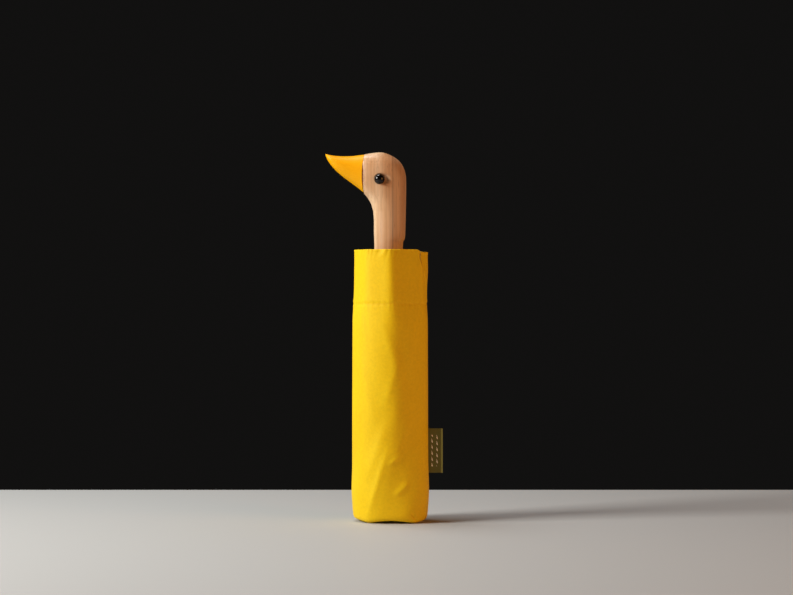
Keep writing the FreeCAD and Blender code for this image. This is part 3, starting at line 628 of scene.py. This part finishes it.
bill = skin("beak_bill", beak_points(), wrap=True)
enamel, tree, shader = material("satin_enamel_on_wood", Roughness=0.45, Specular_IOR_Level=0.15)
where = add(tree, "TexCoord")
drift = add(tree, "TexNoise", {"Vector": where.outputs["Object"]}, in_Scale=55.0, in_Detail=4.0)
tint = add(tree, "Mix", {0: drift.outputs["Fac"]}, data_type="RGBA",
           in_6=linear("#f5ae00"), in_7=linear("#f1a700"))
tree.links.new(tint.outputs[2], shader.inputs["Base Color"])
peel = add(tree, "TexNoise", {"Vector": where.outputs["Object"]}, in_Scale=700.0, in_Detail=1.0)
bumped(tree, shader, peel.outputs["Fac"], 0.08, 0.0002)
bill.data.materials.append(enamel)
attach(bill, "handle")
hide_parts("beak")


# ---------------------------------------------------------------- eyes
# Each eye is a round bead of cast black resin, polished bright. Its post is glued into the wood, at the front of
# the shallow dish that is carved there.
def bead(name, centre, radius):
    """A ball about its centre, with its poles to the left and right of the head."""
    polar = np.linspace(0, np.pi, 40)[:, None]
    turn = np.linspace(0, 2 * np.pi, 64, endpoint=False)[None, :]
    ball = np.stack([np.sin(polar) * np.cos(turn), np.cos(polar) + 0 * turn, np.sin(polar) * np.sin(turn)], -1)
    return skin(name, np.array(centre) + ball * radius, wrap=True)


resin, tree, shader = material("polished_black_resin", Base_Color=linear("#0a0605"), Specular_IOR_Level=0.35)
where = add(tree, "TexCoord")
smudge = add(tree, "TexNoise", {"Vector": where.outputs["Object"]}, in_Scale=300.0)
gloss = add(tree, "MapRange", {0: smudge.outputs["Fac"]}, in_3=0.05, in_4=0.14)
tree.links.new(gloss.outputs[0], shader.inputs["Roughness"])
for name, y in (("eye_right", eye_low.y + EYE_R), ("eye_left", eye_high.y - EYE_R)):
    ball = bead(name, (eye_centre.x, y, EYE_Z * MM), EYE_R + 0.0001)
    ball.data.materials.append(resin)
    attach(ball, "handle")
    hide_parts("eyes")


# ---------------------------------------------------------------- shaft
# Three plated steel tubes, each sliding in the one outside it, with sprung catches that snap out through their
# walls. The tubes are drawn through a die, which leaves faint lines along them.
def refinish(names, made):
    """Gives CAD nodes a better material in the slots they have."""
    for name in names:
        node = frame["nodes"][name]
        if not node.material_slots:
            node.data.materials.append(made)
        for place in node.material_slots:
            place.material = made


def drawn_metal(name, colour, low_gloss, high_gloss):
    """Bright metal drawn along Z: noise stretched along the tube varies its gloss and marks it faintly."""
    made, tree, shader = material(name, Base_Color=linear(colour), Metallic=1.0)
    where = add(tree, "TexCoord")
    drawn = add(tree, "Mapping", {"Vector": where.outputs["Object"]}, in_Scale=(1.0, 1.0, 0.02))
    lines = add(tree, "TexNoise", {"Vector": drawn.outputs[0]}, in_Scale=2500.0, in_Detail=2.0)
    gloss = add(tree, "MapRange", {0: lines.outputs["Fac"]}, in_3=low_gloss, in_4=high_gloss)
    tree.links.new(gloss.outputs[0], shader.inputs["Roughness"])
    bumped(tree, shader, lines.outputs["Fac"], 0.1, 0.0001)
    return made


refinish(("outer_tube", "middle_tube", "inner_tube"), drawn_metal("nickel_plated_steel", "#c8c5bf", 0.16, 0.38))
refinish(("runner_catch", "middle_catch", "inner_catch"), drawn_metal("spring_steel", "#8e8f95", 0.25, 0.5))


# ---------------------------------------------------------------- crown, runner, cap and collar
# The crown, which holds the ribs, the runner, which slides on the shaft, the cap over the crown and the collar
# under the handle are moulded in black nylon with a fine sparked texture.
nylon, tree, shader = material("moulded_black_nylon", Roughness=0.5)
where = add(tree, "TexCoord")
sparked = add(tree, "TexNoise", {"Vector": where.outputs["Object"]}, in_Scale=1800.0, in_Detail=3.0)
mottle = add(tree, "Mix", {0: sparked.outputs["Fac"]}, data_type="RGBA",
             in_6=linear("#131315"), in_7=linear("#232327"))
tree.links.new(mottle.outputs[2], shader.inputs["Base Color"])
gloss = add(tree, "MapRange", {0: sparked.outputs["Fac"]}, in_3=0.42, in_4=0.62)
tree.links.new(gloss.outputs[0], shader.inputs["Roughness"])
bumped(tree, shader, sparked.outputs["Fac"], 0.25, 0.0002)
refinish(("crown", "runner", "top_cap", "handle_collar"), nylon)


# ---------------------------------------------------------------- ribs and stretchers
# Six ribs of three pressed steel channels each, riveted end to end, and six stretchers from the runner. All are
# dipped in black lacquer, which is thinner and browner in patches.
RIBS = 6
lacquer, tree, shader = material("black_lacquered_steel", Metallic=0.6, Coat_Weight=0.4, Coat_Roughness=0.15)
where = add(tree, "TexCoord")
runs = add(tree, "TexNoise", {"Vector": where.outputs["Object"]}, in_Scale=160.0, in_Detail=4.0)
worn = add(tree, "MapRange", {0: runs.outputs["Fac"]}, in_1=0.55, in_2=0.75)
tint = add(tree, "Mix", {0: worn.outputs[0]}, data_type="RGBA", in_6=linear("#17171a"), in_7=linear("#3a332e"))
tree.links.new(tint.outputs[2], shader.inputs["Base Color"])
gloss = add(tree, "MapRange", {0: runs.outputs["Fac"]}, in_3=0.22, in_4=0.48)
tree.links.new(gloss.outputs[0], shader.inputs["Roughness"])
for part in ("rib_inner", "rib_middle", "rib_outer", "stretcher"):
    refinish([f"{part}_{k + 1}" for k in range(RIBS)], lacquer)


# ---------------------------------------------------------------- furled canopy
# While furled, the six gores of yellow cloth are wound round the ribs in many pleats. This closed bundle stands
# for them.
furled_low, furled_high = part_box("canopy_furled")
BUNDLE_R = 24.6
BORE_R = 21.5
PLEATS = 42


def bundle_points():
    """The bundle, in mm. Rows run up the outside, over the top edge, down the bore and across the floor to the
    middle; columns run round. Pleats are a sharpened sine that winds a quarter turn up the bundle."""
    foot = furled_low.z / MM + 0.1
    top = furled_high.z / MM - 0.3
    wall_r = np.linspace(BUNDLE_R - 5.5, BUNDLE_R, 14)
    r = np.concatenate([[0.0, 3.2], wall_r, BUNDLE_R + np.zeros(60),
                        [BUNDLE_R - 0.5, BUNDLE_R - 1.6, BORE_R + 0.4], BORE_R + np.zeros(40), [BORE_R - 5, 0.0]])
    z = np.concatenate([[foot, foot], foot + 16 * np.linspace(0, 1, 14) ** 1.6,
                        np.linspace(foot + 18, top - 3, 60), [top - 1, top, top - 0.6],
                        np.linspace(top - 3, foot + 6, 40), [foot + 0.6, foot + 0.6]])
    turn = np.linspace(0, 2 * np.pi, 12 * PLEATS, endpoint=False)[None, :]
    wind = (z[:, None] - foot) / (top - foot) * np.pi / 2
    wave = np.sin(PLEATS * (turn + wind) + 1.2 * np.sin(3 * turn))
    depth = 0.45 * np.interp(r, (3.2, 12, BORE_R, BUNDLE_R), (0, 0.5, 0.3, 1))[:, None]
    ring = r[:, None] + depth * (np.abs(wave) ** 0.7 * np.sign(wave) - 0.4)
    grid = np.stack([ring * np.cos(turn), ring * np.sin(turn), z[:, None] + 0.4 * depth * wave], -1)
    grid[0] = (0, 0, foot)
    grid[-1] = (0, 0, foot + 0.6)
    uv = np.stack([24 * (turn + 0 * z[:, None]), z[:, None] + 0 * turn], -1)
    return grid * MM, uv * MM


grid, cloth_uv = bundle_points()
bundle = skin("furled_canopy", grid, wrap=True, uv=cloth_uv)
canopy_cloth = woven("polyester_pongee_canopy", "#f0cc10", "#e8be0a", 0.5, 0.1)
bundle.data.materials.append(canopy_cloth)
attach(bundle, "umbrella")
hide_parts("canopy_furled")
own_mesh(bundle)


# ---------------------------------------------------------------- tie strap
# A strap of the same woven polyester, folded double and stitched along both edges. It goes once round the furled
# canopy and keeps its pleats in.
strap_low, strap_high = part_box("tie_strap")
STRAP_R = 25.4
STRAP_HALF = 0.3


def strap_points():
    """The strap, in mm: a thin oblong section with rounded edges, carried once round the bundle."""
    middle = (strap_low.z + strap_high.z) / 2 / MM
    half_tall = (strap_high.z - strap_low.z) / 2 / MM - 0.1
    way = np.linspace(0, 2 * np.pi, 48, endpoint=False)[:, None]
    turn = np.linspace(0, 2 * np.pi, 180, endpoint=False)[None, :]
    up = half_tall * np.sign(np.sin(way)) * np.abs(np.sin(way)) ** 0.35
    groove = 1 - 0.35 * bell(np.abs(up) - half_tall + 2.0, 0.5)
    r = STRAP_R + STRAP_HALF * np.sign(np.cos(way)) * np.abs(np.cos(way)) ** 0.35 * groove
    grid = np.stack([r * np.cos(turn), r * np.sin(turn), middle + up + 0 * turn], -1)
    uv = np.stack([STRAP_R * turn + 0 * up, up + 0 * turn], -1)
    return np.concatenate([grid, grid[:1]]) * MM, np.concatenate([uv, uv[:1]]) * MM


grid, cloth_uv = strap_points()
strap = skin("tie_strap_cloth", grid, wrap=True, uv=cloth_uv)
strap.data.materials.append(canopy_cloth)
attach(strap, "umbrella")
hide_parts("tie_strap")
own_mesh(strap)


# ---------------------------------------------------------------- open canopy
# Six gores of the same cloth, sewn edge to edge along the ribs, hemmed, and clamped under the cap. Each rib
# section has its own length of a gore, made as it lies put away: gathered flat beside its section.
record = frame["record"]["behaviour"]
joints = {joint["name"]: joint for joint in record["joints"]}
full_travel = joints["take_out_and_open"]["range_m"][1]
opening = {row["joint"]: row["ratio"] * full_travel for row in record["couplings"]}
GORE_NEAR = 3.0
GORE_FAR = 4.0
GORE_HALF = 0.2
GORE_COLUMNS = 17
CLAMP = (9.3, 20.15)
CLAMP_DROP = 12.5
HEM_WIDE = 7.0
SEAM_LAP = 1.2
SCALLOP = 16
TIP_CAP = 4.1
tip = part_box("rib_outer_1")[1].z / MM - TIP_CAP


def turned(point, pivot, angle):
    """Turns points (radius, height) in a rib's plane about a pivot, from +Z towards outwards."""
    r, z = point[0] - pivot[0], point[1] - pivot[1]
    return np.array((pivot[0] + r * math.cos(angle) + z * math.sin(angle),
                     pivot[1] - r * math.sin(angle) + z * math.cos(angle)))


pivots = []
swings = []
for name in ("crown_hinge_1", "first_joint_1", "second_joint_1"):
    pivots.append((joints[name]["pos_m"][0] / MM, joints[name]["pos_m"][2] / MM))
    swings.append(opening[name] * joints[name]["axis"][1])


def opened(point, section):
    """Where a point of rib section 0, 1 or 2 is when the canopy is open."""
    for pivot, swing in reversed(list(zip(pivots, swings))[:section + 1]):
        point = turned(point, pivot, swing)
    return point


def gathered(point, section):
    """Where a point of the open canopy is when its rib section is folded away: the opposite of opened."""
    for pivot, swing in list(zip(pivots, swings))[:section + 1]:
        point = turned(point, pivot, -swing)
    return point


# The cloth passes just outside the joints, in the open rib's plane, square to its own lean there
under = [np.array((math.cos(math.radians(lean)), -math.sin(math.radians(lean)))) for lean in (75, 64, 58)]
first_bend = opened(pivots[1], 0) + 2.9 * under[0]
second_bend = opened(pivots[2], 1) + 5.2 * under[1]
hem_point = opened((pivots[2][0], tip), 2) + 2.0 * under[2]
KNOT_R = np.array((CLAMP[0], first_bend[0], second_bend[0], hem_point[0]))
KNOT_Z = np.array((CLAMP[1], first_bend[1], second_bend[1], hem_point[1]))
KNOT_SLOPE = np.array((0.13, 0.235, 0.49, 0.70))


def canopy_height(r):
    """Height of the open canopy along a rib: a cubic between knots with given slopes, less the short throat
    where the cloth drops into its clamp."""
    i = np.clip(np.searchsorted(KNOT_R, r) - 1, 0, 2)
    run = KNOT_R[i + 1] - KNOT_R[i]
    t = (r - KNOT_R[i]) / run
    z = ((2 * t ** 3 - 3 * t ** 2 + 1) * KNOT_Z[i] + (t ** 3 - 2 * t ** 2 + t) * run * KNOT_SLOPE[i]
         + (3 * t ** 2 - 2 * t ** 3) * KNOT_Z[i + 1] + (t ** 3 - t ** 2) * run * KNOT_SLOPE[i + 1])
    return z - CLAMP_DROP * np.exp(-(r - CLAMP[0]) / 9)


def gore_points(section, k):
    """One rib section's length of gore k as a thin closed cloth, put away, in mm. Rows run out along the rib, and
    columns across the gore and back on the other face. The open surface is the canopy's profile turned round the
    shaft, let in by up to 6 mm between the ribs, with the hem scalloped. Its near edge laps over the last gore."""
    share = np.linspace(0, 1, GORE_COLUMNS)
    share = np.concatenate([share, share[::-1]])[None, :]
    face = np.concatenate([np.ones(GORE_COLUMNS), -np.ones(GORE_COLUMNS)])[None, :]
    run = np.linspace(0, 1, 30 if section == 0 else 22)[:, None] ** (1.5 if section == 0 else 1)
    start, end = KNOT_R[section], KNOT_R[section + 1]
    scallop = SCALLOP * 4 * share * (1 - share) if section == 2 else 0
    r = start + (end - scallop - start) * run + 0 * share
    z = canopy_height(r)
    slope = (canopy_height(r + 0.1) - z) / 0.1
    outward = np.array((slope, -np.ones_like(slope))) / np.hypot(slope, 1)
    let_in = np.interp(r, (9, 60, 159, 293, 457), (0, 1.5, 3.5, 5.5, 5.8)) * (1 - np.abs(2 * share - 1) ** 1.5)
    let_in = let_in - SEAM_LAP * (1 - step(share * r * math.pi / 3, 1, 3)) * (0.8 + 0.2 * step(r, 12, 25))
    hem = (section == 2) & (end - scallop - r < HEM_WIDE)
    half = GORE_HALF * np.where(hem, 2.0, 1.0)
    closed = np.concatenate([[0.0], np.ones(len(run) - 2), [0.0]])[:, None]
    plane = np.array((r, z)) + outward * (face * half * closed - let_in)
    plane = gathered(plane, section)
    aside = GORE_NEAR + (GORE_FAR - GORE_NEAR) * (0.5 - np.sin(np.arcsin(1 - 2 * share) / 3)) + 0 * r
    heading = 2 * math.pi * k / RIBS
    grid = np.stack([plane[0] * math.cos(heading) - aside * math.sin(heading),
                     plane[0] * math.sin(heading) + aside * math.cos(heading), plane[1]], -1)
    uv = np.stack([r * share * math.pi / 3, r], -1)
    return grid * MM, uv * MM


for k in range(RIBS):
    for section, name in enumerate(("inner", "middle", "outer")):
        grid, cloth_uv = gore_points(section, k)
        gore = skin(f"gore_{name}_{k + 1}", grid, wrap=True, uv=cloth_uv)
        gore.data.materials.append(canopy_cloth)
        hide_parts(f"cloth_{name}_{k + 1}")
        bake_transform(gore)
